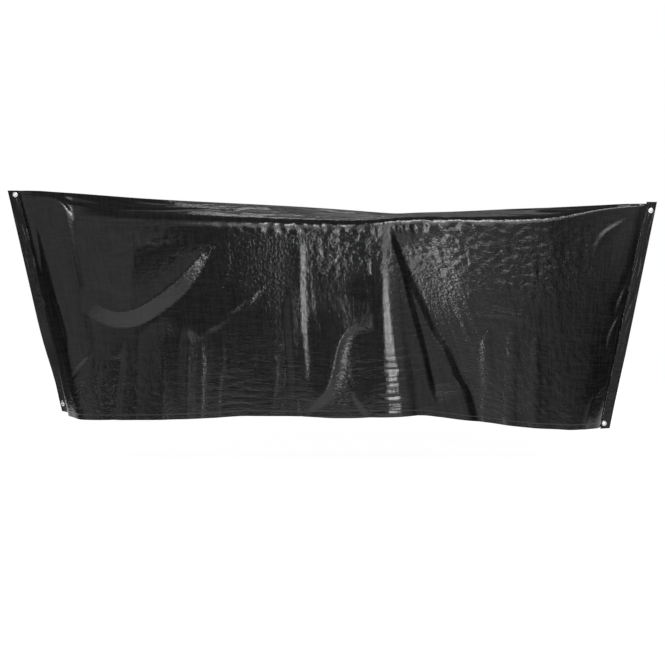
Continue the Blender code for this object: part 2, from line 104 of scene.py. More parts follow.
# A fold: its route, how far it spreads to the left and to the right of its line as one
# walks along it, how far it stands out (or dips in, where negative), its shape, and the
# lengths over which it grows at its start and dies out at its end. A shape is a round roll,
# a crease whose flanks run out softly, or a facet, whose right flank is flat and ends in a
# sharp line. The near wall's routes are read from the photograph, in its pixels, and on_wall
# turns them into places.
Fold = namedtuple("Fold", "route left right height shape tapers", defaults=((0.14, 0.14),))
NEAR_FOLDS_IN_PHOTO = (
    # the swag at the left, with its line on top and its flat underside below
    Fold(((78, 290), (92, 302), (108, 310), (122, 312), (136, 309), (152, 299), (170, 285),
          (188, 268), (204, 252), (222, 236)), 0.150, 0.078, 0.0138, "facet", (0.10, 0.34)),
    # the lit left field, which ends in an upright crease above the swag
    Fold(((130, 326), (130, 300), (131, 262), (134, 214)), 0.220, 0.200, 0.0120, "facet"),
    # the swag in the middle of the left half, in three strokes
    Fold(((194, 342), (203, 332), (221, 322), (236, 312)), 0.080, 0.030, 0.0024, "facet"),
    Fold(((213, 319), (232, 310), (243, 301), (256, 292), (268, 283)),
         0.080, 0.026, 0.0020, "facet"),
    Fold(((238, 318), (248, 305), (256, 294), (270, 284)), 0.030, 0.018, 0.0016, "facet"),
    # the arched fold left of the main crease
    Fold(((374, 333), (362, 326), (349, 329), (339, 344), (334, 366), (328, 386),
          (317, 400), (304, 414)), 0.060, 0.180, 0.0066, "facet"),
    Fold(((347, 372), (353, 390), (362, 404), (374, 424)), 0.300, 0.024, 0.0036, "facet"),
    # upright folds that run out at the hem
    Fold(((112, 448), (117, 403), (119, 380), (121, 357), (124, 340)),
         0.100, 0.022, -0.0070, "facet"),
    Fold(((169, 312), (165, 340), (163, 370), (162, 448)), 0.300, 0.120, 0.0092, "facet"),
    Fold(((185, 318), (188, 345), (187, 374), (187, 448)), 0.200, 0.050, 0.0064, "facet"),
    Fold(((201, 448), (202, 382), (203, 362), (200, 336)), 0.030, 0.016, 0.0010, "facet"),
    Fold(((219, 448), (219, 392), (223, 365), (223, 345), (221, 326)),
         0.060, 0.016, 0.0011, "facet"),
    Fold(((226, 306), (221, 292), (228, 268), (226, 240), (223, 208)),
         0.040, 0.012, 0.0006, "facet"),
    Fold(((257, 448), (257, 386), (254, 362), (257, 345), (257, 322)),
         0.050, 0.012, 0.0006, "facet"),
    Fold(((272, 448), (273, 402), (276, 378), (276, 344)), 0.050, 0.012, 0.0005, "facet"),
    Fold(((289, 284), (292, 330), (295, 370), (297, 448)), 0.480, 0.036, 0.0060, "facet"),
    # the bright upright crease right of them
    Fold(((307, 392), (303, 345), (301, 300), (300, 250), (299, 222)),
         0.090, 0.027, 0.0018, "facet"),
    Fold(((315, 352), (316, 330), (313, 310), (308, 262)), 0.040, 0.012, 0.0006, "facet"),
    # the two edges of the bright pressed strip below the low point of the ridge
    Fold(((383, 212), (383, 250), (383, 300), (384, 340), (386, 380), (387, 448)),
         0.250, 0.050, 0.0026, "facet"),
    Fold(((404, 448), (401, 390), (394, 345), (389, 300), (386, 250), (385, 212)),
         0.250, 0.060, 0.0030, "facet"),
    # the creases that fan out from the same point
    Fold(((387, 219), (397, 242), (405, 268), (412, 296), (420, 325), (427, 352),
          (434, 384), (438, 410)), 0.300, 0.022, -0.0076, "facet"),
    Fold(((388, 220), (401, 248), (411, 272), (424, 300), (437, 328), (450, 348),
          (460, 372), (472, 396), (484, 448)), 0.360, 0.034, -0.0104, "facet"),
    Fold(((436, 352), (447, 370), (458, 384), (472, 402), (482, 448)),
         0.018, 0.016, 0.0014, "crease"),
    Fold(((444, 374), (441, 392), (440, 448)), 0.024, 0.012, -0.0013, "facet"),
    # the right wall
    Fold(((470, 316), (500, 314), (522, 318), (548, 323)), 0.060, 0.026, 0.0024, "facet"),
    Fold(((490, 322), (487, 350), (488, 384), (485, 448)), 0.042, 0.042, 0.0022, "round"),
    Fold(((510, 320), (513, 345), (511, 385), (509, 448)), 0.042, 0.042, 0.0026, "round"),
    Fold(((534, 326), (538, 345), (537, 372), (533, 448)), 0.040, 0.040, 0.0022, "round"),
    # folds that run to the right-hand end
    Fold(((598, 262), (602, 248), (612, 234), (628, 224), (646, 212)),
         0.024, 0.050, 0.0044, "crease"),
    Fold(((626, 366), (613, 384), (602, 396), (594, 410), (584, 448)),
         0.050, 0.030, 0.0060, "crease"),
    Fold(((616, 376), (606, 396), (603, 420)), 0.014, 0.014, -0.0012, "crease"),
    Fold(((648, 252), (634, 284), (624, 304), (618, 326)), 0.020, 0.040, -0.0080, "crease"),
    Fold(((640, 296), (622, 322), (613, 340), (610, 362)), 0.018, 0.036, -0.0070, "crease"),
    Fold(((634, 356), (616, 364), (600, 370)), 0.020, 0.026, -0.0040, "crease"),
    # the dark creases near the lower left corner
    Fold(((93, 346), (88, 358), (78, 370), (66, 384)), 0.030, 0.024, -0.0065, "crease"),
    Fold(((90, 350), (95, 362), (92, 380)), 0.016, 0.016, -0.0032, "crease"),
    Fold(((88, 362), (85, 376), (84, 392), (88, 414)), 0.020, 0.020, -0.0044, "crease"),
    Fold(((102, 352), (99, 368), (97, 388), (102, 416)), 0.018, 0.018, -0.0036, "crease"),
    # the left end, where the cloth is pulled into the band
    Fold(((24, 212), (32, 246), (37, 272), (44, 292)), 0.022, 0.030, -0.0040, "crease"),
    Fold(((44, 286), (54, 312), (62, 340), (64, 362)), 0.018, 0.026, -0.0036, "crease"),
    Fold(((57, 350), (64, 372), (68, 392), (80, 414)), 0.018, 0.026, 0.0036, "crease"),
    Fold(((38, 198), (46, 208), (58, 212), (74, 221)), 0.030, 0.040, 0.0012, "crease"),
)
# The far wall is hidden in the photograph, so its routes are made up, in metres.
FAR_FOLDS_BY_HAND = (
    Fold(((-1.52, -0.28), (-1.30, -0.47), (-1.00, -0.36), (-0.82, -0.16)),
         0.110, 0.080, 0.012, "facet"),
    Fold(((-1.30, -0.52), (-1.28, -0.80), (-1.24, -1.20)),
         0.080, 0.060, -0.008, "round", (0.4, 0.1)),
    Fold(((-0.93, -0.44), (-0.96, -0.80), (-0.95, -1.20)),
         0.090, 0.070, -0.008, "round", (0.5, 0.1)),
    Fold(((-0.60, -0.24), (-0.65, -0.70), (-0.63, -1.20)),
         0.070, 0.110, 0.009, "crease", (0.6, 0.1)),
    Fold(((-0.29, -0.50), (-0.33, -0.80), (-0.31, -1.20)),
         0.080, 0.060, -0.008, "round", (0.4, 0.1)),
    Fold(((-0.05, -0.02), (-0.08, -0.45), (-0.13, -1.20)),
         0.120, 0.100, 0.014, "crease", (0.3, 0.1)),
    Fold(((0.03, -0.02), (0.14, -0.50), (0.26, -1.20)),
         0.080, 0.070, -0.010, "round", (0.5, 0.1)),
    Fold(((0.33, -0.24), (0.47, -0.62), (0.60, -1.20)),
         0.080, 0.060, -0.008, "round", (0.5, 0.1)),
    Fold(((0.75, -0.36), (0.74, -0.80), (0.70, -1.20)),
         0.070, 0.080, 0.006, "crease", (0.5, 0.1)),
)
ROUTE_STEPS = 6             # points on the curve between two points of a route
END_FADE = 0.03             # folds die out this close to the end bands
TOP_FADE = 0.12             # and within this fraction of the wall below the shoulder
LEAST_SPREAD = 0.25         # at its very ends a fold is this fraction of its full width

Wave = namedtuple("Wave", "length height phase")
WAVES = (Wave(0.62, 0.0020, 0.7), Wave(0.29, 0.0010, 2.1))

# A wall: its side of the middle plane, the shift of its waves, and its rows of faces along
# the roof, round the shoulder and down to the hem.
Wall = namedtuple("Wall", "side phase roof_rows turn_rows wall_rows")
NEAR_WALL = Wall(-1, 0.0, 18, 7, 140)
FAR_WALL = Wall(1, 1.9, 9, 4, 44)
WAVE_GROWTH = 1.5           # power of the way down by which the slow waves grow
WALL_BOW = 0.1              # how far a wall leans more at its top than at its hem, 0 to 1

# Fine relief in the mesh: the size of its lumps along and down the cloth, its height, how
# far its crests are sharpened, its seed, and the patches (x, z, half width, half height,
# amount) where it is strong.
Layer = namedtuple("Layer", "along down height sharp seed patches", defaults=(None, ()))
LAYERS = (
    # puckers in a row below the shoulder
    Layer(0.034, 0.040, 0.0034, 0.1, 11, (
        (-0.42, -0.050, 0.42, 0.034, 1.0), (-0.22, -0.25, 0.22, 0.040, 0.5),
        (0.16, -0.050, 0.28, 0.045, 1.2), (-1.20, -0.080, 0.30, 0.050, 0.4))),
    # crumpled cloth
    Layer(0.027, 0.025, 0.0021, 0.1, 23, (
        (0.28, -0.16, 0.34, 0.13, 1.0), (0.62, -0.20, 0.32, 0.18, 1.1),
        (-0.20, -0.14, 0.22, 0.12, 0.8), (-1.05, -0.16, 0.34, 0.10, 0.4),
        (-1.30, -0.80, 0.18, 0.20, 0.5), (0.70, -0.70, 0.30, 0.30, 0.4))),
    # level ripples low in the middle
    Layer(0.080, 0.017, 0.0007, 0.2, 37, (
        (-0.70, -0.75, 0.36, 0.26, 0.7), (-0.05, -0.72, 0.30, 0.26, 0.7),
        (0.40, -0.70, 0.40, 0.30, 0.5))),
    # short level dents across the bright pressed strip
    Layer(0.090, 0.016, 0.0016, 0.0, 71, (
        (-0.030, -0.80, 0.07, 0.20, 1.0), (-0.43, -0.50, 0.03, 0.16, 0.3))),
    # upright streaks
    Layer(0.024, 0.120, 0.0008, 0.2, 41, (
        (0.60, -0.40, 0.45, 0.40, 0.8),)),
)
# The finest relief is in the material. These are the patches where each of its patterns is
# strong: upright streaks, level ripples and crumples.
STREAK_PATCHES = ((0.55, -0.30, 0.50, 0.40, 1.0), (-0.30, -0.11, 0.42, 0.12, 0.8),
                  (-0.80, -0.30, 0.35, 0.20, 0.2), (0.75, -0.60, 0.30, 0.35, 0.8),
                  (-1.66, -0.35, 0.07, 0.35, 1.0), (-1.50, -0.80, 0.08, 0.30, 1.0))
RIPPLE_PATCHES = ((-0.62, -0.75, 0.38, 0.28, 1.0), (-0.05, -0.76, 0.34, 0.28, 1.0),
                  (0.45, -0.70, 0.50, 0.34, 0.6), (-0.35, -0.40, 0.30, 0.25, 0.4))
CRUMPLE_PATCHES = ((0.40, -0.20, 0.45, 0.24, 1.0), (0.65, -0.22, 0.32, 0.22, 1.2),
                   (-0.20, -0.17, 0.24, 0.14, 1.0), (-0.85, -0.16, 0.40, 0.18, 0.35),
                   (-1.38, -0.85, 0.14, 0.18, 0.9), (-0.43, -0.38, 0.05, 0.20, 0.5),
                   (-1.12, -0.30, 0.12, 0.14, 0.6), (-1.12, -0.72, 0.05, 0.26, 0.3),
                   (-1.48, -0.84, 0.07, 0.14, 0.8), (-0.22, -0.68, 0.07, 0.20, 0.4),
                   (1.00, -0.60, 0.07, 0.30, 0.4), (0.60, -0.60, 0.26, 0.28, 0.5),
                   (-0.75, -0.26, 0.30, 0.18, 0.45))
LEAST_TEXTURE = 0.22        # how strong each of them is elsewhere
# Long wrinkles along the roof, all over it.
ROOF_WRINKLE = Layer(0.200, 0.034, 0.0050, 0.5, 53)
# A band's ripples, which run aslant, and its puckers. The seeds are in BANDS.
BAND_RIPPLE = Layer(0.085, 0.011, 0.0019, 0.4)
BAND_RIPPLE_SLANT = 0.30    # how far along the band its ripples move over by one ripple
BAND_PUCKER = Layer(0.022, 0.030, 0.0006, 0.5)
BAND_STILL_EDGE = 0.004     # the relief fades out this close to a band's inner edge
# Rows and columns of faces over which the sheet's fine relief fades out.
ROOF_FADE = 4
SIDE_FADE = 8
RIDGE_FADE = 3
PATCH_FALL = 1.5            # how steeply a patch ends
CREST_LEVEL = 0.55          # height of a sharpened crest
CREST_FALL = 1.6            # and how steeply it falls off
NOISE_CELLS = 256           # lumps each way before the noise repeats
NOISE_GAIN = 1.5            # brings the noise to about -1 to 1

# Sizes of the patterns, along and down the cloth.
STREAK_SIZE = (0.007, 0.020)
RIPPLE_SIZE = (0.036, 0.0065)
CRUMPLE_SIZE = (0.014, 0.012)
GLOSS_SIZE = (0.06, 0.05)
GRAIN_SIZES = ((0.0065, 0.120), (0.080, 0.0065))    # slack tapes, upright and level
GRAIN_HEIGHT = 0.00020
GRAIN_RANGE = (0.75, 1.25)  # the sums of both grains that give the darkest and lightest tone
SEED_SHIFT = (1.0, 0.37, 0.71)  # a pattern moves this far along each axis for a seed of 1
WEAVE_PITCH = 0.0025
WAVE_TEXTURE_SCALE = 2 * pi / 20    # at this scale the wave texture repeats every metre
HEM = (0.022, 0.027)        # the turned hem steps down to the plain sheet this far from its edge
# A woven sheet: its darkest and lightest tone, specular level, least and most roughness, and
# the heights of its weave, streaks, ripples, crumples and hem.
Sheet = namedtuple("Sheet", "name dark light shine roughness weave streak ripple crumple hem")
TARPAULIN = Sheet("tarpaulin_gloss", (0.0004, 0.0004, 0.0004), (0.0065, 0.0065, 0.0066), 0.5,
                  (0.09, 0.13), 0.00004, 0.0005, 0.0005, 0.0018, 0.0006)
END_BAND = Sheet("end_band_gloss", (0.0004, 0.0004, 0.0004), (0.0050, 0.0050, 0.0051), 0.3,
                 (0.22, 0.30), 0.00005, 0.0006, 0.0004, 0.0010, 0.0)
ALUMINIUM_TONES = ((0.66, 0.67, 0.68), (0.86, 0.87, 0.88))
ALUMINIUM_ROUGHNESS = (0.22, 0.42)
ALUMINIUM_GRAIN = 900.0     # grains for each metre

# ---------------------------------------------------------------- the photograph's camera
PHOTO_SIZE = 665            # pixels, each way
MEAN_WALL_OUT = 0.19        # the near wall's mean distance from the middle plane
CAMERA_PLACE = (-0.3079, -6.9617, 0.1625)
CAMERA_TARGET = (-0.3079, 0.0, -0.5692)
CAMERA_LENS = 78.70
CAMERA_SENSOR = 36.0
FLOOR_LEVEL = -1.18
FLOOR_CORNERS = ((-4.2, -9.0), (1.9, -9.0), (1.9, 4.0), (-2.4, 4.0), (-2.4, -1.4),
                 (-4.2, -1.4))      # wider in front, where the left wall mirrors it
FLOOR_TONE = (0.25, 0.25, 0.25)
FLOOR_ROUGHNESS = 0.9
FLOOR_GLOW = 0.93

# A light: its place, what it aims at, its width and height, and its radiance.
Panel = namedtuple("Panel", "name place target width height radiance")
PANELS = (
    Panel("softbox_overhead", (1.0, -3.0, 3.2), (0.5, 0.0, -0.2), 3.0, 0.8, 14.0),
    Panel("softbox_behind", (-0.55, 2.6, 4.8), (-0.5, 0.0, 0.0), 1.7, 0.5, 5.0),
    Panel("strip_beside_camera", (0.30, -7.3, 0.78), (0.0, -0.25, -0.25), 0.44, 2.6, 18.0),
)

# The room's radiance at the horizon and overhead, and the sines of the elevations between
# which it changes.
ROOM = (0.69, 0.24)
ROOM_RISE = (0.70, 0.85)
# Things in the room, as a noise on its radiance: how small they are, the part of the noise
# that counts, and the least and most of the room's radiance that they leave.
CLUTTER_SCALE = 14.0
CLUTTER_RANGE = (0.35, 0.65)
CLUTTER_SHARE = (0.58, 1.45)
# Darker and brighter parts of the room: direction (azimuth from straight behind the camera,
# in radians, and sine of the elevation), half widths, how soft the edge is from 0 to 1, and
# the radiance there as a share of the room's.
Patch = namedtuple("Patch", "azimuth rise half_width half_rise soft share")
ROOM_PATCHES = (
    Patch(-0.125, 0.080, 0.215, 0.220, 0.15, 0.40),
    Patch(-1.950, 0.100, 0.900, 0.400, 0.10, 0.12),
    Patch(1.950, 0.100, 1.370, 0.560, 0.34, 0.15),
    Patch(0.270, 0.520, 0.400, 0.270, 0.85, 6.00),
)


# ---------------------------------------------------------------- small helpers
def smoothstep(value):
    """0 below 0, 1 above 1, and a smooth rise between, for numbers and arrays."""
    value = np.clip(value, 0.0, 1.0)
    return value * value * (3.0 - 2.0 * value)


def mix(start, end, fraction):
    """The value that lies a fraction of the way from start to end."""
    return start + (end - start) * fraction


def noise(along, down, seed):
    """Smooth seeded noise from about -1 to 1, with lumps of size 1."""
    turns = np.random.default_rng(seed).uniform(0.0, 2.0 * pi, (NOISE_CELLS, NOISE_CELLS))
    cell_a, cell_d = np.floor(along).astype(int), np.floor(down).astype(int)
    part_a, part_d = along - cell_a, down - cell_d

    def corner(step_a, step_d):
        turn = turns[(cell_a + step_a) % NOISE_CELLS, (cell_d + step_d) % NOISE_CELLS]
        return np.cos(turn) * (part_a - step_a) + np.sin(turn) * (part_d - step_d)

    blend_a, blend_d = smoothstep(part_a), smoothstep(part_d)
    return NOISE_GAIN * mix(mix(corner(0, 0), corner(1, 0), blend_a),
                            mix(corner(0, 1), corner(1, 1), blend_a), blend_d)


def creased(value, sharp):
    """Noise with its crests sharpened."""
    return mix(value, CREST_LEVEL - CREST_FALL * np.abs(value), sharp)


def lumps(layer, along, down, seed):
    """A layer's height at each place on the cloth."""
    pattern = noise(along / layer.along, down / layer.down, seed)
    return layer.height * creased(pattern, layer.sharp)


# ---------------------------------------------------------------- bands' geometry
def curl_angle(band, down):
    """How far the band's free part has turned at a fraction down its height."""
    turned = smoothstep((down - CURL_START) / (CURL_END - CURL_START))
    return radians(band.curl) * float(turned)


def inner_edge(band, down):
    """A point on the band's inner edge, which is straight from the ridge to the hem."""
    drop = Vector((band.bottom_x - band.top_x, 0.0, band.bottom_z - band.top_z))
    upright = abs(drop.z) / drop.length
    free = BAND_WIDTH - BAND_FLAT
    top_width = BAND_WIDTH / upright
    bottom_width = (BAND_FLAT + free * cos(radians(band.curl))) / upright
    outer = Vector((band.top_x, 0.0, band.top_z)) + drop * down
    outer.x -= band.outward * mix(top_width, bottom_width, down)
    return outer


def band_axes(band, down):
    """Unit vectors at a height: along the band, level, across its free part, its normal."""
    along = (inner_edge(band, 1.0) - inner_edge(band, 0.0)).normalized()
    level = Vector((-along.z, 0.0, along.x)) * band.outward
    angle = curl_angle(band, down)
    across = level * cos(angle) + Vector((0.0, sin(angle), 0.0))
    return along, level, across, along.cross(across).normalized()


# ---------------------------------------------------------------- the sheet's geometry
def end_section(band, neighbour):
    """The section at a closed end, along the band's inner edge and just clear of it."""
    top = inner_edge(band, 0.0)
    drop = inner_edge(band, 1.0) - top
    lean = drop.x / drop.z
    clear = band.outward * EDGE_CLEARANCE
    return neighbour._replace(
        ridge_x=top.x - clear + lean * (neighbour.ridge_z - top.z),
        shoulder_out=EDGE_HALF_WIDTH,
        hem_x=top.x - clear + lean * (neighbour.hem_z - top.z),
        hem_out=EDGE_HALF_WIDTH, far_out=EDGE_HALF_WIDTH, far_z=neighbour.hem_z)


def slopes(places, values):
    """Slopes of a smooth curve through the values that never overshoots them."""
    steps = np.diff(values) / np.diff(places)
    product = steps[:-1] * steps[1:]
    total = steps[:-1] + steps[1:]
    inner = np.where(product > 0.0, 2.0 * product / np.where(total == 0.0, 1.0, total), 0.0)
    return np.concatenate((steps[:1], inner, steps[-1:]))


def column_places(sections):
    """Places along the table of sections, about one column's width apart."""
    places = []
    for index, (here, after) in enumerate(zip(sections, sections[1:])):
        gap = (after.ridge_x - here.ridge_x + after.hem_x - here.hem_x) / 2
        count = max(2, round(gap / COLUMN_WIDTH))
        places.extend(index + step / count for step in range(count))
    return np.array(places + [len(sections) - 1.0])


def spread_sections(sections):
    """A Section whose fields are arrays: the table, read smoothly at every column."""
    table = np.array(sections)
    knots = table[:, 0]
    places = column_places(sections)
    index = np.minimum(places.astype(int), len(sections) - 2)
    part = places - index
    gap = knots[index + 1] - knots[index]
    fields = []
    for values in table.T:
        slope = slopes(knots, values)
        fields.append(
            values[index] * (2 * part ** 3 - 3 * part ** 2 + 1)
            + values[index + 1] * (3 * part ** 2 - 2 * part ** 3)
            + gap * (slope[index] * (part ** 3 - 2 * part ** 2 + part)
                     + slope[index + 1] * (part ** 3 - part ** 2)))
    return Section(*fields)


def on_wall(px, py):
    """The place (x, z) on the near wall that a pixel of the photograph shows."""
    to_target = Vector(CAMERA_TARGET) - Vector(CAMERA_PLACE)
    ahead = to_target.normalized()
    up = Vector((1.0, 0.0, 0.0)).cross(ahead)
    scale = CAMERA_SENSOR / CAMERA_LENS / PHOTO_SIZE
    ray = ahead + up * (PHOTO_SIZE / 2 - py) * scale
    ray.x += (px - PHOTO_SIZE / 2) * scale
    reach = (-MEAN_WALL_OUT - CAMERA_PLACE[1]) / ray.y
    return CAMERA_PLACE[0] + ray.x * reach, CAMERA_PLACE[2] + ray.z * reach


def route_distance(route, x, z):
    """Distance to a route (below 0 on its left), how far along it the nearest point lies,
    and its length."""
    away = np.full(x.shape, np.inf)
    along = np.zeros(x.shape)
    side = np.ones(x.shape)
    travelled = 0.0
    for (x0, z0), (x1, z1) in zip(route, route[1:]):
        length = ((x1 - x0) ** 2 + (z1 - z0) ** 2) ** 0.5
        part = np.clip(((x - x0) * (x1 - x0) + (z - z0) * (z1 - z0)) / length ** 2, 0, 1)
        distance = np.hypot(x - mix(x0, x1, part), z - mix(z0, z1, part))
        nearer = distance < away
        away = np.where(nearer, distance, away)
        along = np.where(nearer, travelled + part * length, along)
        side = np.where(nearer, np.sign((x - x0) * (z1 - z0) - (z - z0) * (x1 - x0)), side)
        travelled += length
    return away * side, along, travelled


def fold_lift(fold, x, z):
    """How far a fold lifts the wall at each place."""
    away, along, length = route_distance(fold.route, x, z)
    on_right = away > 0.0
    grown = smoothstep(np.minimum(along / fold.tapers[0], (length - along) / fold.tapers[1]))
    away = np.where(on_right, away / fold.right, -away / fold.left) / mix(LEAST_SPREAD, 1.0, grown)
    away = np.minimum(1.0, away)
    if fold.shape == "round":
        lift = (1.0 - away * away) ** 2
    else:
        lift = (1.0 - away) ** np.where(on_right & (fold.shape == "facet"), 1.0, 2.0)
    return fold.height * lift * grown


def curved(route):
    """A smooth curve through a route's points (Catmull-Rom)."""
    points = [Vector(point) for point in route]
    points = [2 * points[0] - points[1], *points, 2 * points[-1] - points[-2]]
    curve = []
    for before, start, end, after in zip(points, points[1:], points[2:], points[3:]):
        for step in range(ROUTE_STEPS):
            part = step / ROUTE_STEPS
            curve.append(start + 0.5 * part * (
                end - before + part * (2 * before - 5 * start + 4 * end - after
                                       + part * (3 * (start - end) + after - before))))
    return curve + [points[-2]]


NEAR_FOLDS = tuple(fold._replace(route=[on_wall(*point) for point in curved(fold.route)])
                   for fold in NEAR_FOLDS_IN_PHOTO)
FAR_FOLDS = tuple(fold._replace(route=curved(fold.route)) for fold in FAR_FOLDS_BY_HAND)


def wall_relief(wall, x, z, down, to_end):
    """All that the main folds and slow waves add to the wall's plain surface."""
    lift = sum(wave.height * np.sin(2 * pi * x / wave.length + wave.phase + wall.phase)
               for wave in WAVES) * down ** WAVE_GROWTH
    folds = NEAR_FOLDS if wall is NEAR_WALL else FAR_FOLDS
    lift = lift + sum(fold_lift(fold, x, z) for fold in folds)
    return lift * smoothstep(down / TOP_FADE) * smoothstep(to_end / END_FADE)


def patch_amount(patches, x, z):
    """How strong a layer is at each place: the strongest of its patches."""
    amount = np.zeros(x.shape)
    for centre_x, centre_z, wide, tall, strength in patches:
        away = ((x - centre_x) / wide) ** 2 + ((z - centre_z) / tall) ** 2
        amount = np.maximum(amount, strength * np.exp(-away ** PATCH_FALL))
    return amount


def profile(wall, columns):
    """One wall's points as an array [column, row, xyz], from the ridge to its hem."""
    near = wall is NEAR_WALL
    hem_out = columns.hem_out if near else columns.far_out
    hem_z = columns.hem_z if near else columns.far_z
    fall = (columns.ridge_z - columns.shoulder_z) / (columns.ridge_z - hem_z)
    shoulder_x = mix(columns.ridge_x, columns.hem_x, fall)
    edge = np.full(hem_z.shape, EDGE_HALF_WIDTH)
    ridge = np.stack((columns.ridge_x, edge, columns.ridge_z), 1)[:, None]
    shoulder = np.stack((shoulder_x, columns.shoulder_out, columns.shoulder_z), 1)[:, None]
    hem = np.stack((columns.hem_x, hem_out, hem_z), 1)[:, None]
    roof_length = np.linalg.norm(shoulder - ridge, axis=2, keepdims=True)
    wall_length = np.linalg.norm(hem - shoulder, axis=2, keepdims=True)
    rounding = np.minimum(SHOULDER_RADIUS, SHOULDER_SHARE * roof_length)
    before = mix(shoulder, ridge, rounding / roof_length)
    after = mix(shoulder, hem, rounding / wall_length)
    along_roof = np.linspace(0, 1, wall.roof_rows, endpoint=False)[None, :, None]
    turn = np.linspace(0, 1, wall.turn_rows, endpoint=False)[None, :, None]
    down = np.linspace(0, 1, wall.wall_rows + 1)[None, :, None]
    corner = mix(mix(before, shoulder, turn), mix(shoulder, after, turn), turn)
    wall_points = mix(after, hem, down)
    lean = (hem - after)[..., 1]
    wall_points[..., 1] += WALL_BOW * lean * (down * (1 - down))[..., 0]
    x, z = wall_points[..., 0], wall_points[..., 2]
    row = down[..., 0]
    to_end = np.minimum(x - mix(columns.ridge_x[0], columns.hem_x[0], row),
                        mix(columns.ridge_x[-1], columns.hem_x[-1], row) - x)
    wall_points[..., 1] += wall_relief(wall, x, z, row, to_end)
    points = np.concatenate((mix(ridge, before, along_roof), corner, wall_points), 1)
    points[..., 1] = np.maximum(points[..., 1], EDGE_HALF_WIDTH) * wall.side
    return points


def normals_of(points):
    """Unit normals of a grid of points, outwards for either wall."""
    across = np.gradient(points, axis=0)
    down = np.gradient(points, axis=1)
    normal = np.cross(across, down)
    normal /= np.linalg.norm(normal, axis=2, keepdims=True)
    middle = normal[:, normal.shape[1] // 2]
    return normal * np.sign(np.sum(middle[:, 1] * points[:, points.shape[1] // 2, 1]))


def add_fine_relief(wall, points, columns):
    """Puckers, crumples, ripples and roof wrinkles, along the surface's own normals."""
    lengths = np.linalg.norm(np.diff(points, axis=1), axis=2)
    down = np.concatenate((np.zeros((len(points), 1)), np.cumsum(lengths, 1)), 1)
    along = np.repeat(((columns.ridge_x + columns.hem_x) / 2)[:, None], down.shape[1], 1)
    x, z = points[..., 0], points[..., 2]
    lift = np.zeros(x.shape)
    for layer in LAYERS:
        height = lumps(layer, along, down * wall.side, layer.seed)
        lift += height * patch_amount(layer.patches, x, z)
    rows = np.arange(points.shape[1])[None, :]
    roof = smoothstep(rows / ROOF_FADE) * smoothstep((wall.roof_rows - rows) / ROOF_FADE)
    lift += lumps(ROOF_WRINKLE, along, down * wall.side, ROOF_WRINKLE.seed) * roof
    count = len(points) - 1
    ends = np.arange(count + 1)
    keep = smoothstep(np.minimum(ends, count - ends) / SIDE_FADE)[:, None]
    keep = keep * smoothstep(rows / RIDGE_FADE)
    return points + normals_of(points) * (lift * keep)[..., None], along, down * wall.side


def grid_faces(rows, columns):
    """Faces of a grid whose vertices are numbered row by row."""
    faces = []
    for row in range(rows - 1):
        for step in range(columns - 1):
            start = row * columns + step
            faces.append((start, start + 1, start + columns + 1, start + columns))
    return faces


def mesh_piece(name, points, faces, material):
    """A smooth-shaded mesh object."""
    mesh = bpy.data.meshes.new(name)
    mesh.from_pydata([tuple(point) for point in points], [], faces)
    mesh.materials.append(material)
    mesh.update()
    mesh.polygons.foreach_set("use_smooth", [True] * len(mesh.polygons))
    piece = bpy.data.objects.new(name, mesh)
    bpy.context.scene.collection.objects.link(piece)
    return piece


def store_vectors(piece, name, *fields):
    """Store three numbers at each vertex, for the material to read."""
    attribute = piece.data.attributes.new(name, "FLOAT_VECTOR", "POINT")
    attribute.data.foreach_set("vector", np.stack([field.ravel() for field in fields], 1).ravel())


def store_cloth(piece, along, down, from_hem, x, z):
    """Store where each vertex lies on the flat cloth, and how textured the cloth is there."""
    store_vectors(piece, "cloth", along, down, from_hem)
    store_vectors(piece, "texture", *(
        LEAST_TEXTURE + (1 - LEAST_TEXTURE) * patch_amount(patches, x, z)
        for patches in (STREAK_PATCHES, RIPPLE_PATCHES, CRUMPLE_PATCHES)))


def make_cloth(material):
    """The whole sheet in one piece, from the near hem over the ridge to the far hem."""
    left, right = BANDS
    sections = (end_section(left, SECTIONS[0]), *SECTIONS, end_section(right, SECTIONS[-1]))
    columns = spread_sections(sections)
    near, near_along, near_down = add_fine_relief(
        NEAR_WALL, profile(NEAR_WALL, columns), columns)
    far, far_along, far_down = add_fine_relief(
        FAR_WALL, profile(FAR_WALL, columns), columns)
    points = np.concatenate((near[:, ::-1], far), 1)
    along = np.concatenate((near_along[:, ::-1], far_along), 1)
    down = np.concatenate((near_down[:, ::-1], far_down), 1)
    count, rows = along.shape
    from_hem = np.concatenate((near_down[:, ::-1] - near_down[:, -1:],
                               far_down[:, -1:] - far_down), 1)
    piece = mesh_piece("cover_cloth", points.reshape(-1, 3), grid_faces(count, rows), material)
    store_cloth(piece, along, down, from_hem, points[..., 0], points[..., 2])
    return piece


